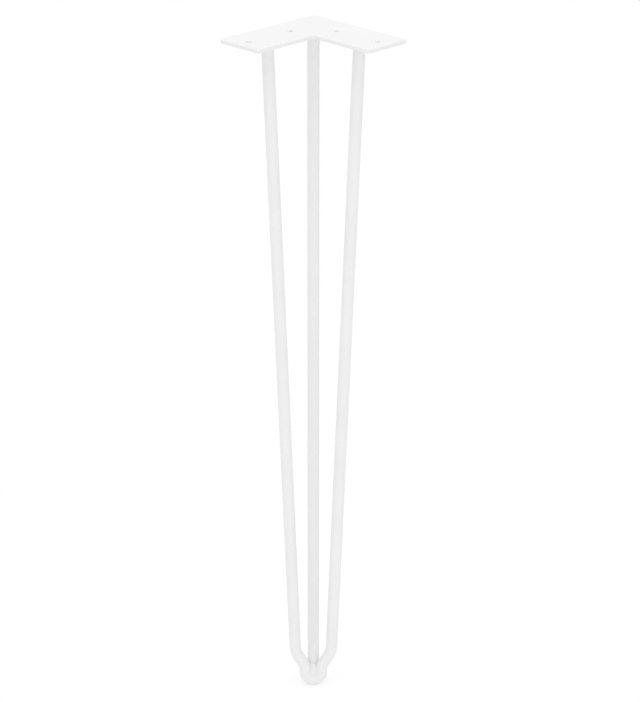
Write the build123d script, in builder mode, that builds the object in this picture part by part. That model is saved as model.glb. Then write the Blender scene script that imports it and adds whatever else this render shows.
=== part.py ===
"""Three-rod hairpin table leg, welded from solid steel rod and an L-shaped screw plate.

The hairpin is one rod: two long legs, a knee on each, and a tight bend that stands on the floor. A third
rod of the same run stands behind it, square to the hairpin's plane. It lies against both legs just above
the bend, and its end sits on the bend.

Millimetres, +Z up. The origin is on the plate's top face, where the centre lines of its two arms cross,
right above the third rod. The leg is symmetrical about X = 0. Its open side faces -Y, and the plate's outer
corner points to +Y.
"""

import os
from math import sqrt

from build123d import *

# Leg and rods
leg_height = 710.0        # plate's top face to the floor
rod_diameter = 12.0
rod_pitch = 62.0          # along each arm, from the third rod to a leg of the hairpin, at the plate
rod_gap = 0.1             # left between two rods that lie side by side before they are welded

# Knees and foot: heights are above the floor, and a reach is measured from the foot's upright axis
knee_height = 40.0        # where a leg's long run would meet its short toe run
knee_reach = 19.0
knee_bend_radius = 16.0   # bend radii are at the rod's centre line
toe_bend_radius = 9.0
toe_rise = 7.0            # upright run between the foot bend and the corner of the toe
third_rod_drop = 4.5      # how far the third rod's end stands below the start of the foot bend
third_rod_chamfer = 1.0

# Plate
arm_length = 125.0        # along an outer edge
arm_width = 52.0
plate_thickness = 4.0
outer_corner_radius = 4.0
inner_corner_radius = 4.0
arm_end_radius = 2.0
plate_edge_chamfer = 0.5  # on the rims of both faces
screw_hole_diameter = 5.5
screw_hole_chamfer = 0.4
end_hole_inset = 13.0     # from an arm's end to its outer screw hole

# Welds
plate_weld_leg = 4.0      # of the ring of weld at the top of each rod
foot_weld_length = 4.6    # of the three beads that join the rods in the foot, on their upright runs
foot_weld_end_taper = 1.2
rear_weld_radius = 3.4    # of the two beads behind, in the grooves between the third rod and the legs
front_weld_radius = 4.2   # of the bead in the slot between the legs
front_weld_set_back = 1.0  # from the hairpin's plane to the axis of that bead

# Rod runs: in the foot the three rods stand on three corners of a square, so each lies against the next
# and all three have one reach there. Points are (reach from the foot's axis, height).
rod_radius = rod_diameter / 2
floor_z = -leg_height
underside_z = -plate_thickness
foot_reach = (rod_diameter + rod_gap) / sqrt(2)
top_reach = rod_pitch / sqrt(2)
bend_z = floor_z + rod_radius + foot_reach
knee_z = floor_z + knee_height

# A rod is drawn past the plate's underside and then cut level with it.
rod_lean = (top_reach - knee_reach) / (underside_z - knee_z)
rod_overrun = rod_diameter
rod_run = [
    (top_reach + rod_lean * rod_overrun, underside_z + rod_overrun),
    (knee_reach, knee_z),
    (foot_reach, bend_z + toe_rise),
]
rod_bends = [knee_bend_radius, toe_bend_radius]
third_rod_end_z = bend_z - third_rod_drop

# Each run is drawn in an upright plane through the foot's axis: local X is the reach, local Y the height.
foot_y = -top_reach
hairpin_plane = Plane(origin=(0, foot_y, 0), x_dir=(1, 0, 0), z_dir=(0, -1, 0))
third_rod_plane = Plane(origin=(0, foot_y, 0), x_dir=(0, 1, 0), z_dir=(1, 0, 0))

# The plate is drawn along its arms: local X is the left arm, local Y the right arm.
arms = Plane(origin=(0, 0, 0), x_dir=(-1, -1, 0), z_dir=(0, 0, 1))
underside = Plane.XY.offset(underside_z)


# Top plate: the L is drawn from the crossing of the arms' centre lines
near_side = -arm_width / 2
far_side = arm_width / 2
arm_end = arm_length - arm_width / 2
hole_places = [rod_pitch / 2, arm_end - end_hole_inset]

with BuildPart() as top_plate:
    with BuildSketch(arms) as outline:
        with BuildLine():
            Polyline(
                (near_side, near_side),
                (arm_end, near_side),
                (arm_end, far_side),
                (far_side, far_side),
                (far_side, arm_end),
                (near_side, arm_end),
                close=True,
            )
        make_face()
        fillet(outline.vertices().group_by(Axis.X)[-1], arm_end_radius)
        fillet(outline.vertices().group_by(Axis.Y)[-1], arm_end_radius)
        fillet(outline.vertices().sort_by_distance((near_side, near_side))[0], outer_corner_radius)
        fillet(outline.vertices().sort_by_distance((far_side, far_side))[0], inner_corner_radius)
    extrude(amount=-plate_thickness)
    chamfer(top_plate.faces().filter_by(Axis.Z).edges(), plate_edge_chamfer)

    with Locations(arms):
        with Locations(*[(place, 0) for place in hole_places], *[(0, place) for place in hole_places]):
            Hole(screw_hole_diameter / 2)
    hole_walls = top_plate.faces(Select.LAST).filter_by(GeomType.CYLINDER)
    chamfer(hole_walls.edges().filter_by(GeomType.CIRCLE), screw_hole_chamfer)

# Hairpin rod: one half is drawn and mirrored, so the path runs from one arm to the other
with BuildPart() as hairpin_rod:
    with BuildLine(hairpin_plane) as hairpin_path:
        FilletPolyline(*rod_run, (foot_reach, bend_z), radius=rod_bends)
        CenterArc((0, bend_z), foot_reach, 0, -90)
        mirror(about=Plane.YZ)
    with BuildSketch(Plane(origin=hairpin_path.line @ 0, z_dir=hairpin_path.line % 0)):
        Circle(rod_radius)
    sweep(path=hairpin_path.line)
    split(bisect_by=underside, keep=Keep.BOTTOM)

# Third rod: its sawn edge is taken off, and its end is ground out to sit on the hairpin's bend
with BuildPart() as third_rod:
    with BuildLine(third_rod_plane) as third_rod_path:
        FilletPolyline(*rod_run, (foot_reach, third_rod_end_z), radius=rod_bends)
    with BuildSketch(Plane(origin=third_rod_path.line @ 0, z_dir=third_rod_path.line % 0)):
        Circle(rod_radius)
    sweep(path=third_rod_path.line)
    split(bisect_by=underside, keep=Keep.BOTTOM)
    chamfer(third_rod.faces().sort_by(Axis.Z)[0].edges(), third_rod_chamfer)
    add(hairpin_rod.part, mode=Mode.SUBTRACT)


def plate_weld(rod, rod_plane, side):
    """A ring of weld at a rod's top: a cone about the rod's own axis, cut level with the plate."""
    rod_top = rod_plane.from_local_coords((side * top_reach, underside_z, 0))
    rod_axis = (rod_top - rod_plane.from_local_coords((side * knee_reach, knee_z, 0))).normalized()
    cone_height = 2 * plate_weld_leg

    with BuildPart() as weld:
        with Locations(Plane(origin=rod_top - rod_axis * plate_weld_leg, z_dir=rod_axis)):
            Cone(
                bottom_radius=rod_radius,
                top_radius=rod_radius + cone_height,
                height=cone_height,
                align=(Align.CENTER, Align.CENTER, Align.MIN),
            )
        split(bisect_by=underside, keep=Keep.BOTTOM)
        add(rod, mode=Mode.SUBTRACT)
    return weld.part


def foot_weld(radius, x, set_back):
    """An upright bead with tapered ends between the third rod and the hairpin, shaped by the two rods."""
    with BuildPart() as weld:
        with Locations((x, foot_y + set_back, bend_z)):
            Cylinder(radius, foot_weld_length, align=(Align.CENTER, Align.CENTER, Align.MIN))
        chamfer(weld.edges().filter_by(GeomType.CIRCLE), foot_weld_end_taper)
        add(hairpin_rod.part, mode=Mode.SUBTRACT)
        add(third_rod.part, mode=Mode.SUBTRACT)
    return weld.part


# From the foot's axis to the axis of a rear bead, along X and along Y
groove = foot_reach / 2 + rear_weld_radius / sqrt(2)

pieces = {
    "top_plate": top_plate.part,
    "hairpin_rod": hairpin_rod.part,
    "third_rod": third_rod.part,
    "plate_weld_left": plate_weld(hairpin_rod.part, hairpin_plane, -1),
    "plate_weld_right": plate_weld(hairpin_rod.part, hairpin_plane, 1),
    "plate_weld_rear": plate_weld(third_rod.part, third_rod_plane, 1),
    "foot_weld_left": foot_weld(rear_weld_radius, -groove, groove),
    "foot_weld_right": foot_weld(rear_weld_radius, groove, groove),
    "foot_weld_front": foot_weld(front_weld_radius, 0, front_weld_set_back),
}

os.makedirs("parts", exist_ok=True)
for name, piece in pieces.items():
    piece.label = name
    export_step(piece, f"parts/{name}.step")
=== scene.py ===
"""A white hairpin table leg: bent steel rod, an L-shaped screw plate and weld beads, all powder coated."""

import math
import random

import bmesh
import bpy
from mathutils import Matrix, Vector


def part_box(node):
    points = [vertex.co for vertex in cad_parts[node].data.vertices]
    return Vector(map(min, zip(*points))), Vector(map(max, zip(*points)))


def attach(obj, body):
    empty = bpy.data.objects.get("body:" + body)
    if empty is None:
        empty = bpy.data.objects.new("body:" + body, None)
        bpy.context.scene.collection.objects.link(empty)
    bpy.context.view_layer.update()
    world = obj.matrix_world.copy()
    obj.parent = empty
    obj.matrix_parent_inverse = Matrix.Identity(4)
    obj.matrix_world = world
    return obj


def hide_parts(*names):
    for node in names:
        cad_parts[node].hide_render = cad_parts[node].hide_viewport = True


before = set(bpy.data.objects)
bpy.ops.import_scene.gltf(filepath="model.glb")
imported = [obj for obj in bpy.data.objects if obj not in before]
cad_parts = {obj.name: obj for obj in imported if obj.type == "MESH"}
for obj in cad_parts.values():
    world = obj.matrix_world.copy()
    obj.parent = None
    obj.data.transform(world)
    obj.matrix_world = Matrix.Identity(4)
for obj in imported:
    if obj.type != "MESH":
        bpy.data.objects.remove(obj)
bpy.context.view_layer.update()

MM = 0.001
UP = Vector((0, 0, 1))
QUARTER_TURN = math.radians(90)

# Rods, as they are bent: a reach is measured from the foot's upright axis, a height from the floor
ROD_RADIUS = 6.0 * MM
ROD_PITCH = 62.0 * MM            # along each arm of the plate, from the third rod to a leg of the hairpin
ROD_GAP = 0.1 * MM               # between two rods that lie side by side
KNEE_HEIGHT = 40.0 * MM
KNEE_REACH = 19.0 * MM
KNEE_BEND_RADIUS = 16.0 * MM     # bend radii are at the rod's centre line
TOE_BEND_RADIUS = 9.0 * MM
TOE_RISE = 7.0 * MM              # upright run between the foot bend and the corner of the toe
SAWN_EDGE_RADIUS = 1.0 * MM      # on the third rod's lower end

# Plate
ARM_LENGTH = 125.0 * MM          # along an outer edge
ARM_WIDTH = 52.0 * MM
OUTER_CORNER_RADIUS = 4.0 * MM
INNER_CORNER_RADIUS = 4.0 * MM
ARM_END_RADIUS = 2.0 * MM
COATED_EDGE_RADIUS = 0.7 * MM    # the coat rounds every sheared edge
RIM_WIDTH = 2 * COATED_EDGE_RADIUS   # a band of faces along every rim, so that the rounding runs evenly
SCREW_HOLE_RADIUS = 2.75 * MM
END_HOLE_INSET = 13.0 * MM       # from an arm's end to its outer screw hole

# Rings of weld at the plate
RIPPLE_PITCH = 1.6 * MM          # from one ripple to the next
RIPPLE_HALF_LENGTH = 2.0 * MM    # along the bead, so each ripple lies well over the one before it
RIPPLE_LEAN = math.radians(13)
RING_BEAD_DEPTH = 1.2 * MM       # from the corner of rod and plate out to the middle of a ripple
RING_BEAD_CROWN = 1.9 * MM       # from the middle of a ripple out to its face
RING_BEAD_HALF_WIDTH = 4.3 * MM  # from rod to plate; both ends run into the metal
RING_SEED = 4

# Beads of weld in the foot
FOOT_RIPPLE_PITCH = 1.1 * MM
FOOT_RIPPLE_HEIGHT = 0.1 * MM
FOOT_RIPPLE_LEAN = math.radians(20)
FOOT_BEAD_TAPER = 5.0 * MM       # over which a foot bead rounds off at each end
FOOT_BEAD_WANDER_LENGTH = 7.0 * MM   # along the bead, over which it strays to one side and to the other
FOOT_SEED = 9

# How unevenly a welder's hand lays the beads; the spreads are shares of the sizes that they change
WANDER = 0.15 * MM               # how far a bead strays from its line
WANDER_SPREAD = 0.5
PITCH_SPREAD = 0.15
LEAN_SPREAD = 0.3
CROWN_SPREAD = 0.05
RIPPLE_HEIGHT_SPREAD = 0.5

# Fineness of the meshes
RING_POINTS = 64                 # round a rod or a foot bead
DEGREES_PER_STEP = 4             # along a bend
SHORTEST_RUN = 0.01 * MM         # a shorter straight stretch between two bends is left out
EDGE_STEPS = 5                   # across a rounded edge
CORNER_STEPS = 12                # round a corner of the plate
HOLE_POINTS = 48
BALL_SEGMENTS = 32               # of the pressed balls that become ripples
BALL_RINGS = 20
BEAD_GRAIN = 0.25 * MM           # size of the grid that fuses the ripples
BEAD_SMOOTHING = 0.5             # strength of one round of smoothing after that
BEAD_SMOOTHING_ROUNDS = 3
FOOT_RING_STEP = 0.14 * MM       # between two rings of a foot bead
MERGE_DISTANCE = 0.001 * MM
SHARP_ANGLE = math.radians(40)   # a steeper fold is shaded as an edge
RIM_ANGLE = math.radians(60)     # a steeper fold is a rim of the plate
FLAT_ANGLE = math.radians(1)     # a flatter fold is taken out

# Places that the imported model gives
plate_low, plate_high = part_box("top_plate")
plate_top_z = plate_high.z
underside_z = plate_low.z
floor_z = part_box("hairpin_rod")[0].z
third_rod_end_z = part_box("third_rod")[0].z
foot_bead_low_z, foot_bead_high_z = [corner.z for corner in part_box("foot_weld_right")]

# In the foot the three rods stand on three corners of a square, so all have one reach there
foot_reach = (2 * ROD_RADIUS + ROD_GAP) / math.sqrt(2)
top_reach = ROD_PITCH / math.sqrt(2)
foot_centre = Vector((0, -top_reach, 0))
bend_z = floor_z + ROD_RADIUS + foot_reach
knee_z = floor_z + KNEE_HEIGHT


# Modelling helpers

def start_piece():
    """Leaves nothing selected, so that the next operators act on the new piece alone."""
    if bpy.context.mode != "OBJECT":
        bpy.ops.object.mode_set(mode="OBJECT")
    bpy.ops.object.select_all(action="DESELECT")


def edit_piece(name):
    """Names the piece just added, puts its place into its mesh and opens it with everything selected."""
    piece = bpy.context.object
    piece.name = name
    bpy.ops.object.transform_apply(location=True, rotation=True, scale=True)
    bpy.ops.object.mode_set(mode="EDIT")
    bpy.ops.mesh.select_all(action="SELECT")
    return piece


def pick(piece, kind, wanted):
    """Selects the vertices, edges or faces of the open piece that pass a test."""
    bpy.ops.mesh.select_mode(type=kind)
    bpy.ops.mesh.select_all(action="DESELECT")
    mesh = bmesh.from_edit_mesh(piece.data)
    parts = {"VERT": mesh.verts, "EDGE": mesh.edges, "FACE": mesh.faces}[kind]
    for part in parts:
        part.select = wanted(part)
    mesh.select_flush_mode()
    bmesh.update_edit_mesh(piece.data)


def middle(edge):
    return (edge.verts[0].co + edge.verts[1].co) / 2


def draw_out(shift):
    """Extrudes what is selected by a vector."""
    bpy.ops.mesh.extrude_region_move(TRANSFORM_OT_translate={"value": shift})


def close_piece():
    """Merges doubles, turns every face outwards and shades the finished mesh smooth."""
    bpy.ops.mesh.select_all(action="SELECT")
    bpy.ops.mesh.remove_doubles(threshold=MERGE_DISTANCE)
    bpy.ops.mesh.normals_make_consistent(inside=False)
    bpy.ops.object.mode_set(mode="OBJECT")
    bpy.ops.object.shade_smooth_by_angle(angle=SHARP_ANGLE)


def apply_modifier(piece, kind, **settings):
    modifier = piece.modifiers.new(kind.title(), kind)
    for name, value in settings.items():
        setattr(modifier, name, value)
    bpy.ops.object.modifier_apply(modifier=modifier.name)


def copy_turned(piece, name, angle):
    """A copy with its own mesh, turned about the foot's upright axis."""
    start_piece()
    bpy.context.view_layer.objects.active = piece
    piece.select_set(True)
    bpy.ops.object.duplicate(linked=False)
    copy = edit_piece(name)
    bpy.ops.transform.rotate(value=-angle, orient_axis="Z", center_override=foot_centre)
    bpy.ops.object.mode_set(mode="OBJECT")
    return copy


# Rods

def carry_ring(corners, bend_radii):
    """Takes the selected ring along a rod's run: straight stretches are extruded and bends are spun."""
    start = corners[0]
    for corner, after, radius in zip(corners[1:], corners[2:], bend_radii):
        ahead = (corner - start).normalized()
        away = (after - corner).normalized()
        turn = ahead.angle(away)
        setback = radius * math.tan(turn / 2)
        bend_start = corner - ahead * setback
        if (bend_start - start).length > SHORTEST_RUN:
            draw_out(bend_start - start)
        axis = away.cross(ahead).normalized()
        bpy.ops.mesh.spin(
            steps=math.ceil(math.degrees(turn) / DEGREES_PER_STEP),
            angle=turn,
            center=bend_start + ahead.cross(axis) * radius,
            axis=axis,
        )
        start = corner + away * setback
    draw_out(corners[-1] - start)


def rod_corners(outward):
    """Corners of one leg from the plate down to the toe; the top one is past the plate's underside."""
    lean = (top_reach - KNEE_REACH) / (underside_z - knee_z)
    overrun = 2 * ROD_RADIUS
    places = [
        (top_reach + lean * overrun, underside_z + overrun),
        (KNEE_REACH, knee_z),
        (foot_reach, bend_z + TOE_RISE),
    ]
    return [foot_centre + outward * reach + UP * height for reach, height in places]


def add_ring(corners, name):
    """The rod's section at the first corner, square to the run."""
    start_piece()
    ahead = corners[1] - corners[0]
    bpy.ops.mesh.primitive_circle_add(
        vertices=RING_POINTS,
        radius=ROD_RADIUS,
        fill_type="NOTHING",
        location=corners[0],
        rotation=ahead.to_track_quat("Z", "Y").to_euler(),
    )
    return edit_piece(name)


def cut_at_plate():
    """Cuts the open rod level with the plate's underside and closes the cut."""
    bpy.ops.mesh.select_all(action="SELECT")
    bpy.ops.mesh.bisect(plane_co=(0, 0, underside_z), plane_no=UP, use_fill=True, clear_outer=True)


def make_hairpin():
    """One rod: down the left leg, round the foot on the floor and up the right leg."""
    left = rod_corners(Vector((-1, 0, 0)))
    right = rod_corners(Vector((1, 0, 0)))
    foot = [foot_centre + Vector((side * foot_reach, 0, floor_z + ROD_RADIUS)) for side in (-1, 1)]
    corners = [*left, *foot, *reversed(right)]
    leg_bends = [KNEE_BEND_RADIUS, TOE_BEND_RADIUS]
    hairpin = add_ring(corners, "hairpin_coated")
    carry_ring(corners, [*leg_bends, foot_reach, foot_reach, *reversed(leg_bends)])
    cut_at_plate()
    close_piece()
    return hairpin


def make_third_rod(hairpin):
    """The rod behind the hairpin. Its end has a rounded edge and is ground out where it sits on the bend."""
    end = foot_centre + Vector((0, foot_reach, third_rod_end_z))
    corners = [*rod_corners(Vector((0, 1, 0))), end]
    rod = add_ring(corners, "third_rod_coated")
    carry_ring(corners, [KNEE_BEND_RADIUS, TOE_BEND_RADIUS])
    bpy.ops.mesh.edge_face_add()
    bpy.ops.mesh.bevel(offset=SAWN_EDGE_RADIUS, segments=EDGE_STEPS, affect="EDGES")
    cut_at_plate()
    close_piece()
    apply_modifier(rod, "BOOLEAN", object=hairpin, operation="DIFFERENCE", solver="EXACT")
    return rod


# Plate

LEFT_ARM = Vector((-1, -1, 0)).normalized()
RIGHT_ARM = Vector((1, -1, 0)).normalized()


def make_plate():
    """The L: a square at the corner with two arms drawn out of it, then rounded, pierced and thickened."""
    start_piece()
    bpy.ops.mesh.primitive_plane_add(
        size=ARM_WIDTH,
        location=(0, 0, plate_top_z),
        rotation=(0, 0, QUARTER_TURN / 2),
    )
    plate = edit_piece("plate_coated")
    for arm in (LEFT_ARM, RIGHT_ARM):
        root = arm * ARM_WIDTH / 2
        pick(plate, "EDGE", lambda edge: (middle(edge).xy - root.xy).length < MM)
        draw_out(arm * (ARM_LENGTH - ARM_WIDTH))
    bpy.ops.mesh.select_all(action="SELECT")
    bpy.ops.mesh.dissolve_limited(angle_limit=FLAT_ANGLE)
    round_corners(plate)
    pierce_holes()
    bpy.ops.mesh.select_all(action="SELECT")
    bpy.ops.mesh.inset(thickness=RIM_WIDTH, depth=0)
    bpy.ops.mesh.select_all(action="SELECT")
    draw_out((0, 0, underside_z - plate_top_z))
    bpy.ops.mesh.select_all(action="SELECT")
    bpy.ops.mesh.normals_make_consistent(inside=False)
    pick(plate, "EDGE", lambda edge: edge.calc_face_angle() > RIM_ANGLE)
    bpy.ops.mesh.bevel(offset=COATED_EDGE_RADIUS, segments=EDGE_STEPS, affect="EDGES")
    close_piece()
    return plate


def round_corners(plate):
    """Rounds the six corners of the flat L, each kind with its own radius."""
    near = -ARM_WIDTH / 2
    far = ARM_WIDTH / 2
    end = ARM_LENGTH - far
    corners = [
        (OUTER_CORNER_RADIUS, [(near, near)]),
        (INNER_CORNER_RADIUS, [(far, far)]),
        (ARM_END_RADIUS, [(end, near), (end, far), (near, end), (far, end)]),
    ]
    for radius, places in corners:
        points = [LEFT_ARM * along_left + RIGHT_ARM * along_right for along_left, along_right in places]
        pick(plate, "VERT", lambda vertex: any((vertex.co.xy - point.xy).length < MM for point in points))
        bpy.ops.mesh.bevel(offset=radius, segments=CORNER_STEPS, affect="VERTICES")


def pierce_holes():
    """Two screw holes on each arm's centre line: one midway between two rods, one near the arm's end."""
    bpy.ops.mesh.select_all(action="SELECT")
    bpy.ops.mesh.delete(type="ONLY_FACE")
    for arm in (LEFT_ARM, RIGHT_ARM):
        for place in (ROD_PITCH / 2, ARM_LENGTH - ARM_WIDTH / 2 - END_HOLE_INSET):
            bpy.ops.mesh.primitive_circle_add(
                vertices=HOLE_POINTS,
                radius=SCREW_HOLE_RADIUS,
                fill_type="NOTHING",
                location=arm * place + UP * plate_top_z,
            )
    bpy.ops.mesh.select_all(action="SELECT")
    bpy.ops.mesh.fill(use_beauty=True)


# Weld beads

def vary(chance, spread):
    """A factor close to 1, drawn by chance."""
    return chance.uniform(1 - spread, 1 + spread)


def lay_bead(name, ripples):
    """Fuses ripples to one bead. Each is a pressed ball, given by its centre, axes and half lengths."""
    start_piece()
    for count, (centre, axes, half_lengths) in enumerate(ripples):
        bpy.ops.mesh.primitive_uv_sphere_add(
            segments=BALL_SEGMENTS,
            ring_count=BALL_RINGS,
            radius=1,
            location=centre,
            rotation=Matrix(axes).transposed().to_euler(),
            scale=half_lengths,
        )
        if count == 0:
            bead = edit_piece(name)
    bpy.ops.object.mode_set(mode="OBJECT")
    apply_modifier(bead, "REMESH", mode="VOXEL", voxel_size=BEAD_GRAIN)
    apply_modifier(bead, "SMOOTH", factor=BEAD_SMOOTHING, iterations=BEAD_SMOOTHING_ROUNDS)
    bpy.ops.object.shade_smooth()
    return bead


def ring_ripples(rod_top, rod_axis):
    """Ripples of the ring of weld round a rod's top, each leaning back on the one before it."""
    chance = random.Random(RING_SEED)
    count = round(2 * math.pi * (ROD_RADIUS + RING_BEAD_CROWN) / RIPPLE_PITCH)
    side = rod_axis.cross(Vector((0, 1, 0))).normalized()
    ripples = []
    for step in range(count):
        turn = 2 * math.pi * (step + chance.uniform(-PITCH_SPREAD, PITCH_SPREAD)) / count
        outward = Matrix.Rotation(turn, 3, rod_axis) @ side
        crown = (outward - rod_axis).normalized()
        width = (outward + rod_axis).normalized()
        lean = Matrix.Rotation(RIPPLE_LEAN * vary(chance, LEAN_SPREAD), 3, width)
        stray = WANDER * (math.sin(2 * turn) + chance.uniform(-WANDER_SPREAD, WANDER_SPREAD))
        crown_height = RING_BEAD_CROWN * vary(chance, CROWN_SPREAD)
        ripples.append((
            rod_top + outward * ROD_RADIUS + crown * (RING_BEAD_DEPTH + stray),
            [width, lean @ crown.cross(width), lean @ crown],
            (RING_BEAD_HALF_WIDTH, RIPPLE_HALF_LENGTH, crown_height),
        ))
    return ripples


def make_plate_bead(name, outward):
    """The ring of weld at one rod's top, which runs into the rod and the plate."""
    top, knee = rod_corners(outward)[:2]
    rod_axis = (top - knee).normalized()
    rod_top = top - rod_axis * ((top.z - underside_z) / rod_axis.z)
    return lay_bead(name, ring_ripples(rod_top, rod_axis))


def make_foot_bead(name, outward, reach, half_width, crown, below, above):
    """An upright bead between the third rod and the hairpin, drawn out ring by ring. Its axis stands at a
    reach from the foot's axis, its crown faces outward, and both ends round off into the metal. It runs on
    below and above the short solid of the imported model."""
    chance = random.Random(FOOT_SEED)
    width = UP.cross(outward)
    low_z = foot_bead_low_z - below
    length = foot_bead_high_z + above - low_z
    ripple_count = math.ceil(length / FOOT_RIPPLE_PITCH)
    strengths = [vary(chance, RIPPLE_HEIGHT_SPREAD) for ripple in range(ripple_count)]

    def centre(along):
        stray = WANDER * math.sin(2 * math.pi * along / FOOT_BEAD_WANDER_LENGTH)
        return foot_centre + outward * (reach + stray) + UP * (low_z + along)

    def size(along):
        to_end = min(1, along / FOOT_BEAD_TAPER, (length - along) / FOOT_BEAD_TAPER)
        ripple, within = divmod(along, FOOT_RIPPLE_PITCH)
        height = FOOT_RIPPLE_HEIGHT * strengths[int(ripple)]
        swell = height * math.sin(math.pi * within / FOOT_RIPPLE_PITCH)
        return math.sqrt(1 - (1 - to_end) ** 2) * (1 + swell / crown)

    # Half a step is left at each end, where the bead would have no size
    rings = round(length / FOOT_RING_STEP)
    places = [length * (ring + 0.5) / rings for ring in range(rings)]
    lean = Matrix.Rotation(FOOT_RIPPLE_LEAN, 3, width)
    start_piece()
    bpy.ops.mesh.primitive_circle_add(
        vertices=RING_POINTS,
        radius=size(places[0]),
        fill_type="NGON",
        location=centre(places[0]),
        rotation=(lean @ Matrix((outward, width, UP)).transposed()).to_euler(),
    )
    bpy.context.object.scale = (crown, half_width, 1)
    bead = edit_piece(name)
    for before, along in zip(places, places[1:]):
        growth = size(along) / size(before)
        draw_out(centre(along) - centre(before))
        bpy.ops.transform.resize(value=(growth, growth, growth), center_override=centre(along))
    close_piece()
    return bead


def make_rear_foot_bead(name):
    """In the groove between the third rod and the right leg."""
    return make_foot_bead(
        name,
        outward=Vector((1, 1, 0)).normalized(),
        reach=7.0 * MM,
        half_width=7.0 * MM,
        crown=4.8 * MM,
        below=3.6 * MM,
        above=3.0 * MM,
    )


def make_front_foot_bead(name):
    """In the slot between the hairpin's legs: from the bend up to where the legs part."""
    return make_foot_bead(
        name,
        outward=Vector((0, -1, 0)),
        reach=-3.0 * MM,
        half_width=7.0 * MM,
        crown=7.0 * MM,
        below=7.5 * MM,
        above=3.6 * MM,
    )


# Finish

def linear(hex_colour):
    """An sRGB hex colour as linear RGBA."""
    channels = [int(hex_colour[start:start + 2], 16) / 255 for start in (1, 3, 5)]
    return (*[c / 12.92 if c <= 0.04045 else ((c + 0.055) / 1.055) ** 2.4 for c in channels], 1)


def add_node(tree, kind, inputs=None, **settings):
    """Adds a node with its settings, and gives each named input a value or a link from another socket."""
    node = tree.nodes.new(kind)
    for name, value in settings.items():
        setattr(node, name, value)
    for name, value in (inputs or {}).items():
        if isinstance(value, bpy.types.NodeSocket):
            tree.links.new(value, node.inputs[name])
        else:
            node.inputs[name].default_value = value
    return node


def new_material(name):
    material = bpy.data.materials.new(name)
    material.use_nodes = True
    material.node_tree.nodes.clear()
    return material, material.node_tree


def add_noise(tree, place, feature_size, detail):
    """Noise values from 0 to 1, with features of about this size."""
    return add_node(
        tree,
        "ShaderNodeTexNoise",
        {"Vector": place, "Scale": 1 / feature_size, "Detail": detail, "Roughness": 0.5},
    ).outputs["Fac"]


PEEL_SIZE = 1.5 * MM             # orange peel is about 1 mm across, and is drawn coarser so that it shows
PEEL_DEPTH = 0.1 * MM
PEEL_HOLLOW = 0.35               # noise values up to this one are hollows, and those past the next are crests
PEEL_CREST = 0.65
PAINTED_PEEL_HOLLOW_SHADE = 0.985             # painted shade: the coat's colour is scaled down to this share in the hollows of the peel
CLOUD_SIZE = 35.0 * MM           # slow change in the coat's thickness along a rod
CLOUD_COLOURS = [(0.3, "#EAEAEA"), (0.7, "#ECECEC")]   # by noise value, from thin coat to thick
LEAST_ROUGHNESS = 0.4
MOST_ROUGHNESS = 0.56
COAT_IOR = 1.5


def powder_coat():
    """Matt white polyester powder coat, sprayed and baked: a soft even white with a fine orange peel, which
    breaks up its dull sheen, painted shade that darkens the hollows of the peel a little, and slow clouds
    where the coat is thicker or thinner."""
    material, tree = new_material("white_powder_coat")
    place = add_node(tree, "ShaderNodeTexCoord").outputs["Object"]
    peel = add_noise(tree, place, PEEL_SIZE, detail=2.0)
    clouds = add_noise(tree, place, CLOUD_SIZE, detail=3.0)
    colour = add_node(tree, "ShaderNodeValToRGB", {"Fac": clouds})
    for stop, (position, hex_colour) in zip(colour.color_ramp.elements, CLOUD_COLOURS):
        stop.position = position
        stop.color = linear(hex_colour)
    # Painted shade: the hollows of the peel are coloured a little darker, while the crests keep the full
    # white
    shade = add_node(
        tree,
        "ShaderNodeMapRange",
        {
            "Value": peel,
            "From Min": PEEL_HOLLOW,
            "From Max": PEEL_CREST,
            "To Min": PAINTED_PEEL_HOLLOW_SHADE,
            "To Max": 1.0,
        },
    )
    white = add_node(
        tree,
        "ShaderNodeVectorMath",
        {0: colour.outputs["Color"], "Scale": shade.outputs["Result"]},
        operation="SCALE",
    )
    sheen = add_node(
        tree,
        "ShaderNodeMapRange",
        {"Value": peel, "To Min": LEAST_ROUGHNESS, "To Max": MOST_ROUGHNESS},
    )
    bump = add_node(tree, "ShaderNodeBump", {"Height": peel, "Strength": 1.0, "Distance": PEEL_DEPTH})
    shader = add_node(
        tree,
        "ShaderNodeBsdfPrincipled",
        {
            "Base Color": white.outputs["Vector"],
            "Roughness": sheen.outputs["Result"],
            "IOR": COAT_IOR,
            "Normal": bump.outputs["Normal"],
        },
    )
    add_node(tree, "ShaderNodeOutputMaterial", {"Surface": shader.outputs["BSDF"]})
    return material


# The leg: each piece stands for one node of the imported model

plate = make_plate()
hairpin = make_hairpin()
third_rod = make_third_rod(hairpin)
rear_bead = make_plate_bead("plate_bead_rear", Vector((0, 1, 0)))
right_foot_bead = make_rear_foot_bead("foot_bead_right")
pieces = {
    "top_plate": plate,
    "hairpin_rod": hairpin,
    "third_rod": third_rod,
    "plate_weld_rear": rear_bead,
    "plate_weld_left": copy_turned(rear_bead, "plate_bead_left", QUARTER_TURN),
    "plate_weld_right": copy_turned(rear_bead, "plate_bead_right", -QUARTER_TURN),
    "foot_weld_right": right_foot_bead,
    "foot_weld_left": copy_turned(right_foot_bead, "foot_bead_left", QUARTER_TURN),
    "foot_weld_front": make_front_foot_bead("foot_bead_front"),
}
coat = powder_coat()
for node, piece in pieces.items():
    piece.data.materials.clear()
    piece.data.materials.append(coat)
    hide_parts(node)
    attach(piece, "root")


# Stage

WHITE = "#FFFFFF"


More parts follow.
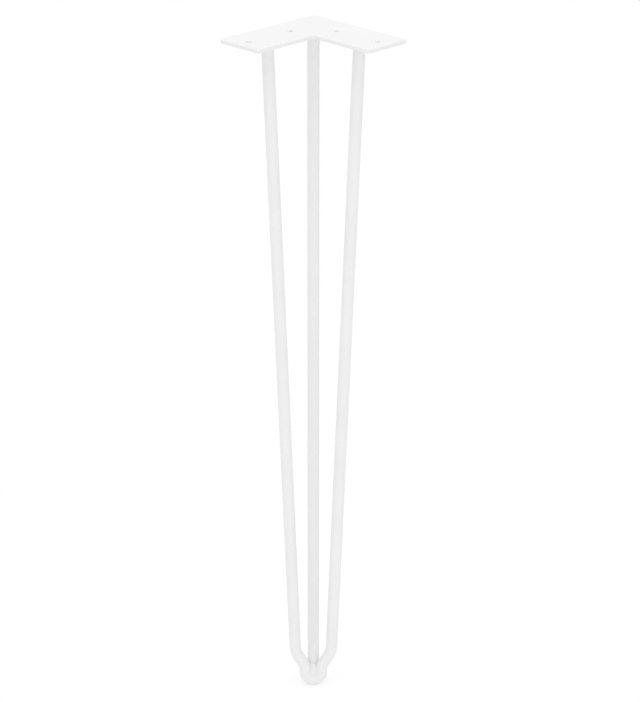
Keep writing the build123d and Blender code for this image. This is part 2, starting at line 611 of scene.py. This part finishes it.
def is_seen(tree):
    """1 for a ray that shows the white ground to the eye, straight or in a reflection."""
    rays = add_node(tree, "ShaderNodeLightPath").outputs
    mirrored = add_node(
        tree,
        "ShaderNodeMath",
        {0: rays["Is Glossy Ray"], 1: rays["Is Transmission Ray"]},
        operation="MAXIMUM",
    )
    seen = add_node(
        tree,
        "ShaderNodeMath",
        {0: rays["Is Camera Ray"], 1: mirrored.outputs[0]},
        operation="MAXIMUM",
    )
    return seen.outputs[0]


def mix(tree, share, first, second):
    """The first shader, with a share of the second one mixed in."""
    return add_node(tree, "ShaderNodeMixShader", {0: share, 1: first, 2: second}).outputs[0]


FLOOR_SIZE = 14.0
SHADOW_SHARE = 0.35              # of the floor's white that the leg shades, close to its foot
SHADOW_NEAR = 0.15               # from the foot; up to here the shadow has its full share
SHADOW_FAR = 0.6                 # from here on the floor is plain white


def make_floor():
    """A white paper floor. To the eye it keeps a faint shadow round the foot. It can't be seen from below."""
    start_piece()
    bpy.ops.mesh.primitive_plane_add(size=FLOOR_SIZE, location=(0, 0, floor_z))
    floor = bpy.context.object
    floor.name = "floor"
    material, tree = new_material("white_paper_floor")
    paper = add_node(tree, "ShaderNodeBsdfDiffuse", {"Color": linear(WHITE)}).outputs[0]
    glow = add_node(tree, "ShaderNodeEmission", {"Color": linear(WHITE), "Strength": 1.0}).outputs[0]
    away = add_node(
        tree,
        "ShaderNodeVectorMath",
        {0: add_node(tree, "ShaderNodeTexCoord").outputs["Object"], 1: foot_centre},
        operation="DISTANCE",
    )
    share = add_node(
        tree,
        "ShaderNodeMapRange",
        {
            "Value": away.outputs["Value"],
            "From Min": SHADOW_NEAR,
            "From Max": SHADOW_FAR,
            "To Min": SHADOW_SHARE,
            "To Max": 0.0,
        },
        interpolation_type="SMOOTHSTEP",
    )
    white = mix(tree, share.outputs["Result"], glow, paper)
    shown = mix(tree, is_seen(tree), paper, white)
    below = add_node(tree, "ShaderNodeNewGeometry").outputs["Backfacing"]
    clear = add_node(tree, "ShaderNodeBsdfTransparent").outputs[0]
    add_node(tree, "ShaderNodeOutputMaterial", {"Surface": mix(tree, below, shown, clear)})
    floor.data.materials.append(material)


ROOM_LEVEL = 0.885


def make_world():
    """A white room: full white to the eye, and a soft level on the leg that leaves room for the lamps."""
    world = bpy.data.worlds.new("white_room")
    bpy.context.scene.world = world
    world.use_nodes = True
    tree = world.node_tree
    tree.nodes.clear()
    level = add_node(
        tree,
        "ShaderNodeMapRange",
        {"Value": is_seen(tree), "To Min": ROOM_LEVEL, "To Max": 1.0},
    )
    room = add_node(
        tree,
        "ShaderNodeBackground",
        {"Color": linear(WHITE), "Strength": level.outputs["Result"]},
    )
    add_node(tree, "ShaderNodeOutputWorld", {"Surface": room.outputs[0]})


def add_softbox(name, place, width, height, power):
    """A lamp with a wide soft face, aimed at the middle of the leg and out of the camera's sight."""
    lamp = bpy.data.lights.new(name, "AREA")
    lamp.shape = "RECTANGLE"
    lamp.size = width
    lamp.size_y = height
    lamp.energy = power
    softbox = bpy.data.objects.new(name, lamp)
    softbox.visible_camera = False
    bpy.context.scene.collection.objects.link(softbox)
    leg_middle = Vector((0, foot_centre.y, floor_z / 2))
    softbox.location = place
    softbox.rotation_euler = (leg_middle - Vector(place)).to_track_quat("-Z", "Y").to_euler()


CAMERA_PLACE = (0, -2.2011, 0.6017)
CAMERA_PITCH = 23.219            # degrees below the horizon
FRAME_WIDTH, FRAME_HEIGHT = 640, 702
FOCAL_PIXELS = 2342.6
LEG_AXIS_X = 313.4               # where the leg's plane of symmetry stands in the frame
SENSOR = 36.0                    # along the frame's long side


def add_camera():
    data = bpy.data.cameras.new("camera")
    data.sensor_width = SENSOR
    data.lens = FOCAL_PIXELS * SENSOR / FRAME_HEIGHT
    data.shift_x = (FRAME_WIDTH / 2 - LEG_AXIS_X) / FRAME_HEIGHT
    camera = bpy.data.objects.new("camera", data)
    bpy.context.scene.collection.objects.link(camera)
    camera.location = CAMERA_PLACE
    camera.rotation_euler = (math.radians(90 - CAMERA_PITCH), 0, 0)
    bpy.context.scene.camera = camera


make_floor()
make_world()
add_softbox("overhead_softbox", place=(0, -0.4, 2.2), width=2.4, height=2.4, power=16)
add_softbox("front_softbox", place=(0.3, -2.7, -0.05), width=3.0, height=1.2, power=5)
add_camera()
bpy.context.scene.view_settings.view_transform = "Standard"
